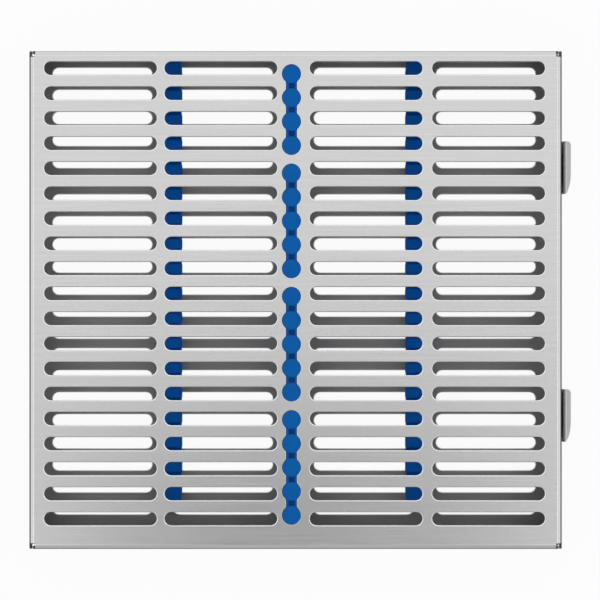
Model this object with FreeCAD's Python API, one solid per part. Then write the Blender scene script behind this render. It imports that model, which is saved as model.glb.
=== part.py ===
import FreeCAD, Part
import math
import os

V = FreeCAD.Vector
X = V(1, 0, 0)
Y = V(0, 1, 0)
Z = V(0, 0, 1)

# Instrument cassette for sterilising hand instruments: a folded, slotted tray and a folded, slotted lid.
# Millimetres. +X is the latch side, -X the hinge side, +Z up, origin on the tray's underside.

# How finely the rounds that repeat are drawn, in sides to a full circle
LID_SLOT_SIDES = 8
TRAY_SLOT_SIDES = 6
SMALL_ROUND_SIDES = 14
ROLL_SIDES = 20

# Overall sizes
LID_LENGTH = 205.0
LID_WIDTH = 191.7
CLOSED_HEIGHT = 32.0

# Folded sheet
LID_SHEET = 1.0
TRAY_SHEET = 1.0
BEND_RADIUS = 2.0
CORNER_SEAM = 0.3
LID_WALL_HEIGHT = 10.0
LID_FIT = 0.3
LID_SEAT_GAP = 1.0

# Slot pattern in the lid
LID_ROWS = 19
LID_SLOT_WIDTH = 5.0
LID_MARGIN_HINGE = 5.8
LID_MARGIN_LATCH = 6.6
LID_RIB_HINGE = 3.05
LID_RIB_LATCH = 3.85
LID_CENTRE_STRIP = 12.6
LID_INSET_BACK = 6.7
LID_INSET_FRONT = 11.7

# Scalloped openings in the lid, each a row of round holes joined by a neck
BEAD_COUNTS = (4, 5, 5, 5)
BEAD_OFFSET = 0.8
BEAD_INSET_BACK = 8.85
BEAD_INSET_FRONT = 13.05
BEAD_GROUP_STEP = 10.7
BEAD_DIAMETER = 7.3
BEAD_NECK = 4.2

# Slot pattern in the tray floor
TRAY_ROWS_BACK = 5
TRAY_ROWS_FRONT = 15
TRAY_SLOT_WIDTH = 4.7
TRAY_MARGIN_HINGE = 7.7
TRAY_MARGIN_LATCH = 7.6
TRAY_RIB_HINGE = 8.4
TRAY_RIB_LATCH = 9.0
TRAY_CENTRE_STRIP = 16.2
TRAY_INSET_BACK = 6.25
TRAY_INSET_FRONT = 13.25
TRAY_WIDE_STEP = 15.1

# Slots in the tray walls, which share each wall between its ends
WALL_SLOT_COUNT = 5
WALL_SLOT_HEIGHT = 5.0
WALL_SLOT_CENTRE_Z = 11.0
WALL_SLOT_BRIDGE = 7.0
WALL_SLOT_END = 12.5
LATCH_WALL_SLOT_COUNT = 3
LATCH_WALL_SLOT_BRIDGE = 5.0
LATCH_WALL_SLOT_END = 5.5

# Silicone hold-down pads in the lid
PAD_STUD_CLEARANCE = 0.1
PAD_STUD_PROUD = 0.3
PAD_FLANGE_WIDTH = 11.0
PAD_FLANGE_THICKNESS = 1.6
PAD_FLANGE_LIP = 1.2
PAD_RIB_WIDTH = 6.0
PAD_REACH = 14.0

# Silicone rails and the steel channels that hold them
RAIL_WIDTH = 9.0
RAIL_HEIGHT = 14.0
RAIL_BACK_GAP = 0.5
RAIL_FRONT_GAP = 13.6
RAIL_OFFSET = 3.4
RAIL_END_LAND = 3.0
NOTCH_TOP_WIDTH = 5.6
NOTCH_FLOOR_WIDTH = 4.8
NOTCH_DEPTH = 7.0
CHANNEL_WIDTH = 8.0
CHANNEL_HEIGHT = 5.0
CHANNEL_SHEET = 0.8
RAIL_FIT = 0.1

# Rolled hinges
HINGE_INSET = 40.85
HINGE_PIN_RADIUS = 0.8
HINGE_FIT = 0.05
TRAY_KNUCKLE = 10.0
LID_KNUCKLE = 15.0
KNUCKLE_GAP = 0.4
KNUCKLE_WINDOW = 3.0
TRAY_HINGE_DROP = 2.9
HINGE_CORNER_STEP = 3.2
PIN_PROUD = 0.4

# Draw latches
LATCH_INSET_BACK = 44.85
LATCH_INSET_FRONT = 51.35
LATCH_SHEET = 0.8
LATCH_REACH = 3.5
LATCH_WALL_GAP = 0.3
LATCH_LIP_WIDTH = 20.4
LATCH_LIP_TAPER = 0.6
LATCH_LIP_CORNER = 1.5
LATCH_TOP_DROP = 2.0
LATCH_BEND_RADIUS = 1.0
LATCH_SHOULDER_Z = 20.0
LATCH_PIN_Z = 9.0
LATCH_PIN_RADIUS = 0.7
LATCH_FIT = 0.05
LATCH_SIDE_GAP = 0.4
EAR_SPACING = 16.0
NOSE_WIDTH = 8.0
NOSE_HEIGHT = 2.4
NOSE_DEPTH = 1.1
NOSE_DROP = 4.3
WINDOW_MARGIN = 0.6
BRACKET_FOOT_Z = 3.5
BRACKET_TOP_Z = 17.0
RIVET_Z = 13.8
RIVET_SPACING = 9.2
RIVET_RADIUS = 1.25
RIVET_FIT = 0.05
RIVET_HEAD_RADIUS = 2.2
RIVET_OUTER_HEAD = 0.5
RIVET_INNER_HEAD = 0.6

# Faces worked out from the sizes above
LID_HINGE_X = -LID_LENGTH / 2
LID_LATCH_X = LID_LENGTH / 2
LID_BACK_Y = LID_WIDTH / 2
LID_FRONT_Y = -LID_WIDTH / 2
LID_TOP_Z = CLOSED_HEIGHT
LID_EDGE_Z = CLOSED_HEIGHT - LID_WALL_HEIGHT
LID_UNDERSIDE_Z = LID_TOP_Z - LID_SHEET

TRAY_HINGE_X = LID_HINGE_X
TRAY_LATCH_X = LID_LATCH_X - LID_SHEET - LID_FIT
TRAY_BACK_Y = LID_BACK_Y - LID_SHEET - LID_FIT
TRAY_FRONT_Y = LID_FRONT_Y + LID_SHEET + LID_FIT
TRAY_RIM_Z = LID_UNDERSIDE_Z - LID_SEAT_GAP

HINGE_BORE = HINGE_PIN_RADIUS + HINGE_FIT
HINGE_AXIS_Z = LID_EDGE_Z
LID_KNUCKLE_RADIUS = HINGE_BORE + LID_SHEET
HINGE_AXIS_X = LID_HINGE_X + LID_KNUCKLE_RADIUS
TRAY_HINGE_RIM_Z = HINGE_AXIS_Z - TRAY_HINGE_DROP
HINGE_LENGTH = 2 * TRAY_KNUCKLE + LID_KNUCKLE + 2 * KNUCKLE_GAP

LID_PITCH = (LID_WIDTH - LID_INSET_BACK - LID_INSET_FRONT) / (LID_ROWS - 1)
LID_BLANKS = LID_MARGIN_HINGE + LID_MARGIN_LATCH + LID_RIB_HINGE + LID_RIB_LATCH + LID_CENTRE_STRIP
LID_SLOT_LENGTH = (LID_LENGTH - LID_BLANKS) / 4

BEAD_RUN = LID_WIDTH - BEAD_INSET_BACK - BEAD_INSET_FRONT - (len(BEAD_COUNTS) - 1) * BEAD_GROUP_STEP
BEAD_PITCH = BEAD_RUN / (sum(BEAD_COUNTS) - len(BEAD_COUNTS))

TRAY_LENGTH = TRAY_LATCH_X - TRAY_HINGE_X
TRAY_BLANKS = TRAY_MARGIN_HINGE + TRAY_MARGIN_LATCH + TRAY_RIB_HINGE + TRAY_RIB_LATCH + TRAY_CENTRE_STRIP
TRAY_SLOT_LENGTH = (TRAY_LENGTH - TRAY_BLANKS) / 4
TRAY_STEPS = TRAY_ROWS_BACK + TRAY_ROWS_FRONT - 2
TRAY_RUN = TRAY_BACK_Y - TRAY_FRONT_Y - TRAY_INSET_BACK - TRAY_INSET_FRONT - TRAY_WIDE_STEP
TRAY_PITCH = TRAY_RUN / TRAY_STEPS

RAIL_BACK_Y = TRAY_BACK_Y - TRAY_SHEET - RAIL_BACK_GAP
RAIL_FRONT_Y = TRAY_FRONT_Y + TRAY_SHEET + RAIL_FRONT_GAP

LATCH_BACK_Y = LID_BACK_Y - LATCH_INSET_BACK
LATCH_FRONT_Y = LID_FRONT_Y + LATCH_INSET_FRONT
LATCH_FACE_X = LID_LATCH_X + LATCH_WALL_GAP
LATCH_KNUCKLE_RADIUS = LATCH_PIN_RADIUS + LATCH_FIT + LATCH_SHEET
LATCH_AXIS_X = LATCH_FACE_X + LATCH_KNUCKLE_RADIUS
LATCH_TIP_X = LID_LATCH_X + LATCH_REACH
LATCH_TOP_Z = LID_TOP_Z - LATCH_TOP_DROP
NOSE_Z = LATCH_TOP_Z - NOSE_DROP
BRACKET_HALF = EAR_SPACING / 2 + LATCH_SHEET
BRACKET_FACE_X = TRAY_LATCH_X + LATCH_SHEET


# Building blocks

def box(x0, x1, y0, y1, z0, z1):
    return Part.makeBox(x1 - x0, y1 - y0, z1 - z0, V(x0, y0, z0))


def rod_y(x, z, y0, y1, radius):
    return Part.makeCylinder(radius, y1 - y0, V(x, y0, z), Y)


def joined(pieces):
    return pieces[0].fuse(pieces[1:]).removeSplitter()


def line(a, b):
    return Part.LineSegment(a, b).toShape()


def arc(a, middle, b):
    return Part.Arc(a, middle, b).toShape()


def polygon_face(points):
    return Part.Face(Part.makePolygon(points + [points[0]]))


# Outlines, as pairs about their own origin

def arc_pairs(u, v, radius, start, end, sides):
    """Points along an arc, from start to end in degrees, at the given sides to a full circle."""
    steps = math.ceil((end - start) * sides / 360 - 0.01)
    angles = [math.radians(start + (end - start) * i / steps) for i in range(steps + 1)]
    return [(u + radius * math.cos(a), v + radius * math.sin(a)) for a in angles]


def slot_pairs(length, width, sides):
    """A slot with rounded ends, its length along u."""
    r = width / 2
    half = length / 2 - r
    return arc_pairs(half, 0, r, -90, 90, sides) + arc_pairs(-half, 0, r, 90, 270, sides)


def circle_pairs(radius, sides):
    return arc_pairs(0, 0, radius, 0, 360, sides)[:-1]


def bead_pairs(ys, diameter, neck, sides):
    """A row of round holes joined by a neck, with ys running from front to back."""
    r = diameter / 2
    open_angle = math.degrees(math.acos(neck / diameter))
    first, last = ys[0], ys[-1]
    pairs = []
    for y in ys:
        start = -90 if y == first else -open_angle
        end = 180 + open_angle if y == last else open_angle
        pairs += arc_pairs(0, y, r, start, end, sides)
    for y in ys[-2::-1]:
        end = 270 if y == first else 180 + open_angle
        pairs += arc_pairs(0, y, r, 180 - open_angle, end, sides)
    return pairs[:-1]


def loop_wire(pairs, origin, u, v):
    """The closed wire of an outline, laid on the plane through origin with directions u and v."""
    points = [origin + u * a + v * b for a, b in pairs]
    return Part.makePolygon(points + [points[0]])


def prism(pairs, origin, u, v, depth):
    return Part.Face(loop_wire(pairs, origin, u, v)).extrude(depth)


def small_rod_x(y, z, x0, x1, radius):
    """A short round bar along X, such as a rivet."""
    return prism(circle_pairs(radius, SMALL_ROUND_SIDES), V(x0, y, z), Y, Z, X * (x1 - x0))


def roll_y(x, z, y0, y1, radius):
    """A round bar along Y, for the sheet that is rolled round a pin."""
    return prism(circle_pairs(radius, ROLL_SIDES), V(x, y0, z), X, Z, Y * (y1 - y0))


# Folded sheet

def fold(start, along, outward, up, radius, sheet, height):
    """One bend and the wall above it. start is on the plate's outer face, where the bend begins."""
    centre = start + up * radius
    diagonal = (outward - up) * math.sqrt(0.5)
    foot = centre + outward * radius
    top = start + outward * radius + up * height
    edges = [
        arc(start, centre + diagonal * radius, foot),
        line(foot, top),
        line(top, top - outward * sheet),
        line(top - outward * sheet, foot - outward * sheet),
        arc(foot - outward * sheet, centre + diagonal * (radius - sheet), start + up * sheet),
        line(start + up * sheet, start),
    ]
    return Part.Face(Part.Wire(edges)).extrude(along)


def folded_pan(x0, x1, y0, y1, face_z, up, sheet, holes, heights):
    """A plate and four walls, each corner left open by a square relief and a seam.

    face_z is the plate's outer face, up is 1 for a tray and -1 for a lid, holes are the wires
    cut in the plate, and heights are those of the walls at x0, x1, y0 and y1.
    """
    r = BEND_RADIUS
    rise = V(0, 0, up)
    low_x, high_x, low_y, high_y = x0 + r, x1 - r, y0 + r, y1 - r
    outline = Part.makePolygon([V(low_x, low_y, face_z), V(high_x, low_y, face_z),
                                V(high_x, high_y, face_z), V(low_x, high_y, face_z),
                                V(low_x, low_y, face_z)])
    plate = Part.makeFace([outline] + holes, "Part::FaceMakerBullseye").extrude(rise * sheet)
    span_x = V(high_x - low_x, 0, 0)
    span_y = V(0, high_y - low_y, 0)
    pieces = [
        plate,
        fold(V(low_x, low_y, face_z), span_y, V(-1, 0, 0), rise, r, sheet, heights[0]),
        fold(V(high_x, low_y, face_z), span_y, V(1, 0, 0), rise, r, sheet, heights[1]),
        fold(V(low_x, low_y, face_z), span_x, V(0, -1, 0), rise, r, sheet, heights[2]),
        fold(V(low_x, high_y, face_z), span_x, V(0, 1, 0), rise, r, sheet, heights[3]),
    ]
    for x_low, height in ((x0, heights[0]), (x1 - sheet, heights[1])):
        z_low, z_high = sorted((face_z + up * r, face_z + up * height))
        for y_low, y_high in ((y0, low_y), (high_y, y1)):
            pieces.append(box(x_low, x_low + sheet, y_low, y_high, z_low, z_high))
    inner_low_x = x0 + sheet + CORNER_SEAM
    inner_high_x = x1 - sheet - CORNER_SEAM
    for y_low, height in ((y0, heights[2]), (y1 - sheet, heights[3])):
        z_low, z_high = sorted((face_z + up * r, face_z + up * height))
        pieces.append(box(inner_low_x, low_x, y_low, y_low + sheet, z_low, z_high))
        pieces.append(box(high_x, inner_high_x, y_low, y_low + sheet, z_low, z_high))
    return joined(pieces)


def knuckle(y0, y1, radius, wall_z, sheet):
    """A rolled hinge loop with the strip of wall that it is rolled from."""
    loop = roll_y(HINGE_AXIS_X, HINGE_AXIS_Z, y0, y1, radius)
    z_low, z_high = sorted((HINGE_AXIS_Z, wall_z))
    outer_x = HINGE_AXIS_X - radius
    strip = box(outer_x, outer_x + sheet, y0, y1, z_low, z_high)
    bore = roll_y(HINGE_AXIS_X, HINGE_AXIS_Z, y0, y1, HINGE_BORE)
    return loop.fuse(strip).cut(bore)


# Places of what repeats

def hinge_centres():
    return [LID_FRONT_Y + HINGE_INSET, LID_BACK_Y - HINGE_INSET]


def tray_knuckle_spans(centre):
    start = centre - HINGE_LENGTH / 2
    end = centre + HINGE_LENGTH / 2
    return [(start, start + TRAY_KNUCKLE), (end - TRAY_KNUCKLE, end)]


def lid_row_y(row):
    return LID_BACK_Y - LID_INSET_BACK - row * LID_PITCH


def lid_column_centres():
    first = LID_HINGE_X + LID_MARGIN_HINGE + LID_SLOT_LENGTH / 2
    second = first + LID_SLOT_LENGTH + LID_RIB_HINGE
    third = second + LID_SLOT_LENGTH + LID_CENTRE_STRIP
    fourth = third + LID_SLOT_LENGTH + LID_RIB_LATCH
    return [first, second, third, fourth]


def bead_line_x():
    second, third = lid_column_centres()[1:3]
    return (second + third) / 2 - BEAD_OFFSET


def bead_group_ys():
    """For each group the bead centres, from front to back."""
    groups = []
    y = LID_BACK_Y - BEAD_INSET_BACK
    for count in BEAD_COUNTS:
        ys = [y - i * BEAD_PITCH for i in range(count)]
        y = ys[-1] - BEAD_GROUP_STEP
        groups.append(ys[::-1])
    return groups


def tray_column_centres():
    first = TRAY_HINGE_X + TRAY_MARGIN_HINGE + TRAY_SLOT_LENGTH / 2
    second = first + TRAY_SLOT_LENGTH + TRAY_RIB_HINGE
    third = second + TRAY_SLOT_LENGTH + TRAY_CENTRE_STRIP
    fourth = third + TRAY_SLOT_LENGTH + TRAY_RIB_LATCH
    return [first, second, third, fourth]


def tray_row_ys():
    y = TRAY_BACK_Y - TRAY_INSET_BACK
    back = [y - i * TRAY_PITCH for i in range(TRAY_ROWS_BACK)]
    start = back[-1] - TRAY_WIDE_STEP
    return back + [start - i * TRAY_PITCH for i in range(TRAY_ROWS_FRONT)]


def spread(low, high, count, bridge):
    """The length and the centres of slots that share a stretch, with a bridge between two."""
    length = (high - low - (count - 1) * bridge) / count
    return length, [low + length / 2 + i * (length + bridge) for i in range(count)]


def rail_centre(side):
    """Each rail stands on the solid rib between two columns of tray slots, set towards the middle."""
    first, second, third, fourth = tray_column_centres()
    if side == "left":
        return (first + second) / 2 + RAIL_OFFSET
    return (third + fourth) / 2 - RAIL_OFFSET


# Sheet metal

def lid_cover():
    slot = slot_pairs(LID_SLOT_LENGTH, LID_SLOT_WIDTH, LID_SLOT_SIDES)
    holes = []
    for x in lid_column_centres():
        for row in range(LID_ROWS):
            holes.append(loop_wire(slot, V(x, lid_row_y(row), LID_TOP_Z), X, Y))
    for ys in bead_group_ys():
        beads = bead_pairs(ys, BEAD_DIAMETER, BEAD_NECK, SMALL_ROUND_SIDES)
        holes.append(loop_wire(beads, V(bead_line_x(), 0, LID_TOP_Z), X, Y))
    lid = folded_pan(LID_HINGE_X, LID_LATCH_X, LID_FRONT_Y, LID_BACK_Y, LID_TOP_Z, -1,
                     LID_SHEET, holes, [LID_WALL_HEIGHT] * 4)
    wall_x = LID_HINGE_X + LID_SHEET
    cuts = []
    for centre in hinge_centres():
        for y0, y1 in tray_knuckle_spans(centre):
            cuts.append(box(LID_HINGE_X, wall_x, y0 - KNUCKLE_GAP, y1 + KNUCKLE_GAP,
                            LID_EDGE_Z, LID_EDGE_Z + KNUCKLE_WINDOW))
    nose_top = NOSE_Z + NOSE_HEIGHT
    half = NOSE_WIDTH / 2 + WINDOW_MARGIN
    for y in (LATCH_BACK_Y, LATCH_FRONT_Y):
        cuts.append(box(LID_LATCH_X - LID_SHEET, LID_LATCH_X, y - half, y + half,
                        NOSE_Z - WINDOW_MARGIN, nose_top + WINDOW_MARGIN))
    lid = lid.cut(cuts)
    loops = []
    for centre in hinge_centres():
        half = LID_KNUCKLE / 2
        loops.append(knuckle(centre - half, centre + half, LID_KNUCKLE_RADIUS,
                             LID_EDGE_Z + KNUCKLE_WINDOW, LID_SHEET))
    return joined([lid] + loops)


def wall_slot_cuts():
    """Slots in the tray's front, back and hinge walls, and between the latches in the fourth."""
    cuts = []
    length, xs = spread(TRAY_HINGE_X + WALL_SLOT_END, TRAY_LATCH_X - WALL_SLOT_END,
                        WALL_SLOT_COUNT, WALL_SLOT_BRIDGE)
    outline = slot_pairs(length, WALL_SLOT_HEIGHT, TRAY_SLOT_SIDES)
    for x in xs:
        for wall_y in (TRAY_FRONT_Y, TRAY_BACK_Y - TRAY_SHEET):
            cuts.append(prism(outline, V(x, wall_y, WALL_SLOT_CENTRE_Z), X, Z, Y * TRAY_SHEET))
    length, ys = spread(TRAY_FRONT_Y + WALL_SLOT_END, TRAY_BACK_Y - WALL_SLOT_END,
                        WALL_SLOT_COUNT, WALL_SLOT_BRIDGE)
    outline = slot_pairs(length, WALL_SLOT_HEIGHT, TRAY_SLOT_SIDES)
    for y in ys:
        cuts.append(prism(outline, V(TRAY_HINGE_X, y, WALL_SLOT_CENTRE_Z), Y, Z, X * TRAY_SHEET))
    clear = BRACKET_HALF + LATCH_WALL_SLOT_END
    length, ys = spread(LATCH_FRONT_Y + clear, LATCH_BACK_Y - clear,
                        LATCH_WALL_SLOT_COUNT, LATCH_WALL_SLOT_BRIDGE)
    outline = slot_pairs(length, WALL_SLOT_HEIGHT, TRAY_SLOT_SIDES)
    for y in ys:
        cuts.append(prism(outline, V(TRAY_LATCH_X - TRAY_SHEET, y, WALL_SLOT_CENTRE_Z), Y, Z, X * TRAY_SHEET))
    return cuts


def rivet_places(latch_y):
    return [latch_y - RIVET_SPACING / 2, latch_y + RIVET_SPACING / 2]


def base_tray():
    """The tray. Its front and back walls step down beside the hinges, where the lid's edge turns past."""
    slot = slot_pairs(TRAY_SLOT_LENGTH, TRAY_SLOT_WIDTH, TRAY_SLOT_SIDES)
    holes = []
    for x in tray_column_centres():
        for y in tray_row_ys():
            holes.append(loop_wire(slot, V(x, y, 0), X, Y))
    tray = folded_pan(TRAY_HINGE_X, TRAY_LATCH_X, TRAY_FRONT_Y, TRAY_BACK_Y, 0, 1, TRAY_SHEET, holes,
                      [TRAY_HINGE_RIM_Z, TRAY_RIM_Z, TRAY_RIM_Z, TRAY_RIM_Z])
    cuts = wall_slot_cuts()
    step_x = TRAY_HINGE_X + HINGE_CORNER_STEP
    for y0, y1 in ((TRAY_FRONT_Y, TRAY_FRONT_Y + BEND_RADIUS), (TRAY_BACK_Y - BEND_RADIUS, TRAY_BACK_Y)):
        cuts.append(box(TRAY_HINGE_X, step_x, y0, y1, TRAY_HINGE_RIM_Z, TRAY_RIM_Z))
    for latch_y in (LATCH_BACK_Y, LATCH_FRONT_Y):
        for y in rivet_places(latch_y):
            cuts.append(small_rod_x(y, RIVET_Z, TRAY_LATCH_X - TRAY_SHEET, TRAY_LATCH_X,
                                    RIVET_RADIUS + RIVET_FIT))
    tray = tray.cut(cuts)
    loops = []
    for centre in hinge_centres():
        for y0, y1 in tray_knuckle_spans(centre):
            loops.append(knuckle(y0, y1, LID_KNUCKLE_RADIUS, TRAY_HINGE_RIM_Z, TRAY_SHEET))
    return joined([tray] + loops)


def rail_channel(side):
    """An open channel spot-welded to the tray floor, which grips the rail's foot."""
    x = rail_centre(side)
    half = CHANNEL_WIDTH / 2
    y0 = RAIL_FRONT_Y
    floor_z = TRAY_SHEET
    top_z = floor_z + CHANNEL_HEIGHT
    inner = half - CHANNEL_SHEET
    section = [V(x - half, y0, floor_z), V(x + half, y0, floor_z), V(x + half, y0, top_z),
               V(x + inner, y0, top_z), V(x + inner, y0, floor_z + CHANNEL_SHEET),
               V(x - inner, y0, floor_z + CHANNEL_SHEET), V(x - inner, y0, top_z),
               V(x - half, y0, top_z)]
    return polygon_face(section).extrude(Y * (RAIL_BACK_Y - y0))


# Hinge pins

def hinge_pin(centre):
    half = HINGE_LENGTH / 2 + PIN_PROUD
    return rod_y(HINGE_AXIS_X, HINGE_AXIS_Z, centre - half, centre + half, HINGE_PIN_RADIUS)


# Silicone

def hold_down_pad(ys):
    """Studs that fill the round holes of one opening, a flange under the lid and a pressing rib."""
    x = bead_line_x()
    radius = BEAD_DIAMETER / 2
    flange_z = LID_UNDERSIDE_Z - PAD_FLANGE_THICKNESS
    y0 = ys[0] - radius
    y1 = ys[-1] + radius
    half = PAD_FLANGE_WIDTH / 2
    stud = circle_pairs(radius - PAD_STUD_CLEARANCE, SMALL_ROUND_SIDES)
    pieces = [box(x - half, x + half, y0 - PAD_FLANGE_LIP, y1 + PAD_FLANGE_LIP,
                  flange_z, LID_UNDERSIDE_Z)]
    for y in ys:
        pieces.append(prism(stud, V(x, y, LID_UNDERSIDE_Z), X, Y, Z * (LID_SHEET + PAD_STUD_PROUD)))
    r = PAD_RIB_WIDTH / 2
    tip_z = LID_UNDERSIDE_Z - PAD_REACH
    round_z = tip_z + r
    section = Part.Wire([
        line(V(x - r, y0, flange_z), V(x - r, y0, round_z)),
        arc(V(x - r, y0, round_z), V(x, y0, tip_z), V(x + r, y0, round_z)),
        line(V(x + r, y0, round_z), V(x + r, y0, flange_z)),
        line(V(x + r, y0, flange_z), V(x - r, y0, flange_z)),
    ])
    pieces.append(Part.Face(section).extrude(V(0, y1 - y0, 0)))
    return joined(pieces)


def notch_ys():
    """The rail's notches lie between the lid's slot rows, as many as the rail has room for."""
    ribs = [(lid_row_y(i) + lid_row_y(i + 1)) / 2 for i in range(LID_ROWS - 1)]
    reach = NOTCH_TOP_WIDTH / 2 + RAIL_END_LAND
    return [y for y in ribs if RAIL_FRONT_Y + reach < y < RAIL_BACK_Y - reach]


def rail(side):
    """A comb that holds the instruments apart, standing on a foot inside the channel."""
    x = rail_centre(side)
    bottom = TRAY_SHEET + CHANNEL_HEIGHT + RAIL_FIT
    top = TRAY_SHEET + RAIL_HEIGHT
    notch_floor = top - NOTCH_DEPTH
    left = x - RAIL_WIDTH / 2
    points = [V(left, RAIL_BACK_Y, bottom), V(left, RAIL_BACK_Y, top)]
    for y in notch_ys():
        points += [V(left, y + NOTCH_TOP_WIDTH / 2, top), V(left, y + NOTCH_FLOOR_WIDTH / 2, notch_floor),
                   V(left, y - NOTCH_FLOOR_WIDTH / 2, notch_floor), V(left, y - NOTCH_TOP_WIDTH / 2, top)]
    points += [V(left, RAIL_FRONT_Y, top), V(left, RAIL_FRONT_Y, bottom)]
    comb = polygon_face(points).extrude(X * RAIL_WIDTH)
    foot_half = CHANNEL_WIDTH / 2 - CHANNEL_SHEET - RAIL_FIT
    foot = box(x - foot_half, x + foot_half, RAIL_FRONT_Y, RAIL_BACK_Y,
               TRAY_SHEET + CHANNEL_SHEET + RAIL_FIT, bottom)
    return joined([comb, foot])


# Latches

def latch_bracket(y):
    """A plate riveted to the tray wall, with two ears that carry the lever's pin."""
    pieces = [box(TRAY_LATCH_X, BRACKET_FACE_X, y - BRACKET_HALF, y + BRACKET_HALF,
                  BRACKET_FOOT_Z, BRACKET_TOP_Z)]
    r = LATCH_KNUCKLE_RADIUS
    for start in (y - BRACKET_HALF, y + EAR_SPACING / 2):
        end = start + LATCH_SHEET
        pieces.append(box(TRAY_LATCH_X, LATCH_AXIS_X, start, end, LATCH_PIN_Z - r, LATCH_PIN_Z + r))
        pieces.append(roll_y(LATCH_AXIS_X, LATCH_PIN_Z, start, end, r))
    bracket = joined(pieces)
    cuts = [roll_y(LATCH_AXIS_X, LATCH_PIN_Z, y - BRACKET_HALF, y + BRACKET_HALF,
                   LATCH_PIN_RADIUS + LATCH_FIT)]
    for place in rivet_places(y):
        cuts.append(small_rod_x(place, RIVET_Z, TRAY_LATCH_X, BRACKET_FACE_X, RIVET_RADIUS + RIVET_FIT))
    return bracket.cut(cuts)


def latch_lever(y):
    """A plate rolled round its pin, with a nose for the lid's window and a lip for the finger."""
    narrow = EAR_SPACING / 2 - LATCH_SIDE_GAP
    wide = LATCH_LIP_WIDTH / 2
    outer = LATCH_FACE_X + LATCH_SHEET
    lip_start = LATCH_FACE_X + LATCH_BEND_RADIUS
    under = LATCH_TOP_Z - LATCH_SHEET
    loop = roll_y(LATCH_AXIS_X, LATCH_PIN_Z, y - narrow, y + narrow, LATCH_KNUCKLE_RADIUS)
    stem = box(LATCH_FACE_X, outer, y - narrow, y + narrow, LATCH_PIN_Z, LATCH_SHOULDER_Z)
    bore = roll_y(LATCH_AXIS_X, LATCH_PIN_Z, y - narrow, y + narrow, LATCH_PIN_RADIUS + LATCH_FIT)
    head = fold(V(lip_start, y - wide, LATCH_TOP_Z), V(0, 2 * wide, 0), V(-1, 0, 0), V(0, 0, -1),
                LATCH_BEND_RADIUS, LATCH_SHEET, LATCH_TOP_Z - LATCH_SHOULDER_Z)
    c = min(LATCH_LIP_CORNER, LATCH_TIP_X - LATCH_LIP_TAPER - lip_start)
    corner_x = LATCH_TIP_X - c
    front_x = corner_x - LATCH_LIP_TAPER
    slant = c * math.sqrt(0.5)
    back = y + wide
    front = y - wide
    lip_edges = [
        line(V(lip_start, front, under), V(lip_start, back, under)),
        line(V(lip_start, back, under), V(corner_x, back, under)),
        arc(V(corner_x, back, under), V(corner_x + slant, back - c + slant, under),
            V(LATCH_TIP_X, back - c, under)),
        line(V(LATCH_TIP_X, back - c, under), V(LATCH_TIP_X, front + wide / 2, under)),
        line(V(LATCH_TIP_X, front + wide / 2, under), V(front_x + c, front + c, under)),
        arc(V(front_x + c, front + c, under), V(front_x + slant, front + c - slant, under),
            V(front_x, front, under)),
        line(V(front_x, front, under), V(lip_start, front, under)),
    ]
    lip = Part.Face(Part.Wire(lip_edges)).extrude(V(0, 0, LATCH_SHEET))
    nose_tip = LATCH_FACE_X - NOSE_DEPTH
    half = NOSE_WIDTH / 2
    nose = polygon_face([V(outer, y - half, NOSE_Z), V(nose_tip, y - half, NOSE_Z),
                         V(nose_tip, y - half, NOSE_Z + NOSE_HEIGHT / 3),
                         V(LATCH_FACE_X, y - half, NOSE_Z + NOSE_HEIGHT),
                         V(outer, y - half, NOSE_Z + NOSE_HEIGHT)]).extrude(V(0, NOSE_WIDTH, 0))
    return joined([loop.fuse(stem).cut(bore), head, lip, nose])


def latch_pin(y):
    half = BRACKET_HALF + PIN_PROUD
    return rod_y(LATCH_AXIS_X, LATCH_PIN_Z, y - half, y + half, LATCH_PIN_RADIUS)


def latch_rivets(y):
    """Two rivets through the tray wall and the bracket, kept as separate solids in one group."""
    inner_x = TRAY_LATCH_X - TRAY_SHEET
    rivets = []
    for place in rivet_places(y):
        shank = small_rod_x(place, RIVET_Z, inner_x, BRACKET_FACE_X, RIVET_RADIUS)
        inner = small_rod_x(place, RIVET_Z, inner_x - RIVET_INNER_HEAD, inner_x, RIVET_HEAD_RADIUS)
        outer = small_rod_x(place, RIVET_Z, BRACKET_FACE_X, BRACKET_FACE_X + RIVET_OUTER_HEAD, RIVET_HEAD_RADIUS)
        rivets.append(joined([shank, inner, outer]))
    return Part.makeCompound(rivets)


# The assembly

def build():
    nodes = {"lid_cover": lid_cover(), "base_tray": base_tray()}
    for side in ("left", "right"):
        nodes["rail_channel_" + side] = rail_channel(side)
        nodes["rail_" + side] = rail(side)
    for i, ys in enumerate(bead_group_ys()):
        nodes["hold_down_pad_" + str(i + 1)] = hold_down_pad(ys)
    for name, centre in zip(("front", "back"), hinge_centres()):
        nodes["hinge_pin_" + name] = hinge_pin(centre)
    for name, y in (("front", LATCH_FRONT_Y), ("back", LATCH_BACK_Y)):
        nodes["latch_bracket_" + name] = latch_bracket(y)
        nodes["latch_lever_" + name] = latch_lever(y)
        nodes["latch_pin_" + name] = latch_pin(y)
        nodes["latch_rivets_" + name] = latch_rivets(y)
    return nodes


os.makedirs("parts", exist_ok=True)
for node_name, solid in build().items():
    solid.exportStep(os.path.join("parts", node_name + ".step"))
    size = solid.BoundBox
    print(node_name, "solids", len(solid.Solids), "valid", solid.isValid(), "volume", round(solid.Volume, 1),
          "x", round(size.XMin, 2), round(size.XMax, 2), "y", round(size.YMin, 2), round(size.YMax, 2),
          "z", round(size.ZMin, 2), round(size.ZMax, 2))
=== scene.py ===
# %% [markdown]
# # Instrument cassette
# A closed steel cassette for sterilising hand instruments: a slotted lid hinged on a slotted tray, blue
# silicone studs in the lid, blue silicone rails deep inside, and two small lever latches. The packed
# CAD model is the fixed frame. Everything here is dressed round it, in the same place and size.

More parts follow.
